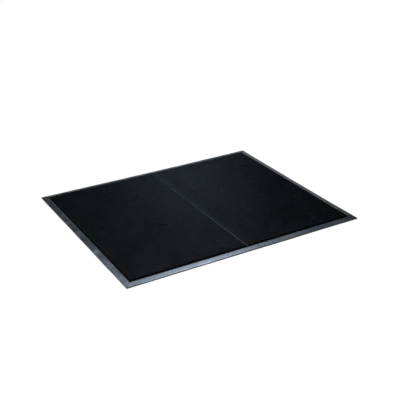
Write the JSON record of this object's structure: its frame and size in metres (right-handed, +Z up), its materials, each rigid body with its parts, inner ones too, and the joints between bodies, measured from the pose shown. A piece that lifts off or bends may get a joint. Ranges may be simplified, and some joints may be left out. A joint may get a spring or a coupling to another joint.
{
  "type": "door mat",
  "caption": "Rectangular rubber entrance mat: a low tray with mitred bevelled ramps and a cross divider, holding lift-out scraper panels of upright rubber fingers.",
  "frame": {"origin": "middle of the underside, on the floor", "axes": "+X along the long sides, +Y along the short sides from the front ramp to the rear ramp, +Z up"},
  "size_m": [0.991, 0.813, 0.012],
  "materials": {
    "backing_rubber": "matt black rubber with a fine cloth impression",
    "ramp_rubber": "satin black rubber with a bluish grey bloom",
    "divider_rubber": "satin black rubber",
    "finger_rubber": "matt black moulded rubber with worn tips"
  },
  "bodies": {
    "tray": {"base_sheet": "backing_rubber", "front_ramp": "ramp_rubber", "rear_ramp": "ramp_rubber", "left_ramp": "ramp_rubber", "right_ramp": "ramp_rubber", "centre_divider": "divider_rubber"},
    "left_insert": {"left_panel": "finger_rubber"},
    "right_insert": {"right_panel": "finger_rubber"}
  },
  "joints": [
    {"name": "left_panel_lift", "type": "slide", "parent": "tray", "child": "left_insert", "axis": [0, 0, 1], "range_m": [0, 0.06]},
    {"name": "right_panel_lift", "type": "slide", "parent": "tray", "child": "right_insert", "axis": [0, 0, 1], "range_m": [0, 0.06]}
  ]
}
